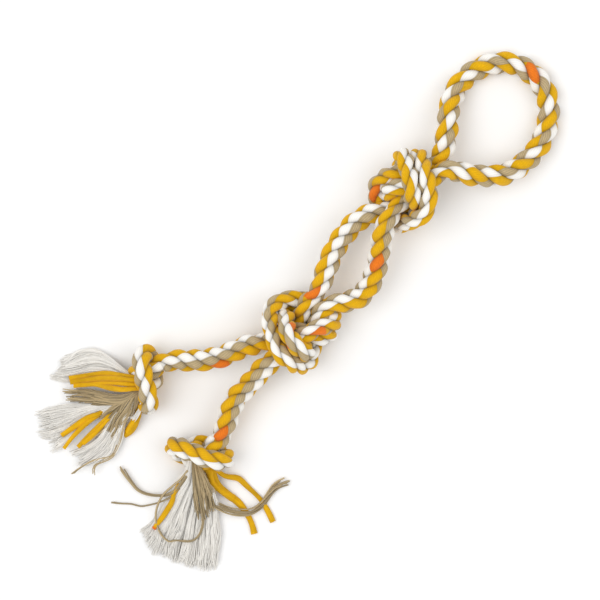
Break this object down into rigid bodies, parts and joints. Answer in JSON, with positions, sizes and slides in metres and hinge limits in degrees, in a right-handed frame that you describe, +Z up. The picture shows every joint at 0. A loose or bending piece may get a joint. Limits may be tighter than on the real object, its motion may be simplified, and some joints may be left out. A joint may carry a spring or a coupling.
{
  "type": "rope dog toy",
  "caption": "Knotted cotton rope tug toy for dogs, with a round hand loop, doubled knots along a twin-rope body, and knotted tails that end in frayed tassels.",
  "frame": {"origin": "on the floor under the middle of the toy's outline, as it lies flat", "axes": "+X along the toy towards its hand loop, +Y across it towards its left tail, +Z up"},
  "size_m": [0.5405, 0.2385, 0.0623],
  "materials": {
    "rope": "laid cotton yarns, white, golden yellow and tan",
    "white_yarn": "frayed cotton",
    "yellow_yarn": "frayed cotton",
    "tan_yarn": "frayed jute-coloured cotton"
  },
  "bodies": {
    "middle_knot": {"middle_knot_left_rope": "rope", "middle_knot_right_rope": "rope", "left_leg": "rope", "right_leg": "rope", "left_tail": "rope", "right_tail": "rope"},
    "upper_knot": {"upper_knot_left_rope": "rope", "upper_knot_right_rope": "rope", "left_handle_neck": "rope", "right_handle_neck": "rope"},
    "handle": {"handle_loop": "rope"},
    "left_end": {"left_end_knot": "rope"},
    "right_end": {"right_end_knot": "rope"},
    "left_tassel": {"left_tassel_white_top_short": "white_yarn", "left_tassel_white_top_long": "white_yarn", "left_tassel_tan": "tan_yarn", "left_tassel_white_side_upper": "white_yarn", "left_tassel_white_side_lower": "white_yarn", "left_tassel_white_low_long": "white_yarn", "left_tassel_white_low_short": "white_yarn", "left_tassel_yellow_low": "yellow_yarn", "left_tassel_yellow_wide": "yellow_yarn", "left_tassel_yellow_side": "yellow_yarn", "left_tassel_yellow_front": "yellow_yarn"},
    "right_tassel": {"right_tassel_white_first": "white_yarn", "right_tassel_white_second": "white_yarn", "right_tassel_white_third": "white_yarn", "right_tassel_white_fourth": "white_yarn", "right_tassel_yellow_thick": "yellow_yarn", "right_tassel_yellow_top": "yellow_yarn", "right_tassel_tan_front": "tan_yarn", "right_tassel_tan_left": "tan_yarn", "right_tassel_tan_thin": "tan_yarn", "right_tassel_tan_loop": "tan_yarn", "right_tassel_tan_right": "tan_yarn", "right_tassel_yellow_thin": "yellow_yarn"}
  },
  "joints": [
    {"name": "waist_bend", "type": "hinge", "parent": "middle_knot", "child": "upper_knot", "pos_m": [0.0415, 0.004, 0.027], "axis": [0, 0, 1], "range_deg": [-30, 30], "deforming": ["left_leg", "right_leg"]},
    {"name": "handle_lift", "type": "hinge", "parent": "upper_knot", "child": "handle", "pos_m": [0.16, 0.009, 0.028], "axis": [0, -1, 0], "range_deg": [0, 100], "deforming": ["left_handle_neck", "right_handle_neck"]},
    {"name": "left_tail_swing", "type": "hinge", "parent": "middle_knot", "child": "left_end", "pos_m": [-0.0945, 0.018, 0.025], "axis": [0, 0, 1], "range_deg": [-40, 0], "deforming": ["left_tail"]},
    {"name": "right_tail_swing", "type": "hinge", "parent": "middle_knot", "child": "right_end", "pos_m": [-0.0985, -0.013, 0.027], "axis": [0, 0, 1], "range_deg": [0, 40], "deforming": ["right_tail"]},
    {"name": "left_tassel_swing", "type": "hinge", "parent": "left_end", "child": "left_tassel", "pos_m": [-0.1687, 0.0449, 0.02], "axis": [0, 0, 1], "range_deg": [-12, 0]},
    {"name": "right_tassel_swing", "type": "hinge", "parent": "right_end", "child": "right_tassel", "pos_m": [-0.1759, -0.0251, 0.02], "axis": [0, 0, 1], "range_deg": [0, 12]}
  ]
}
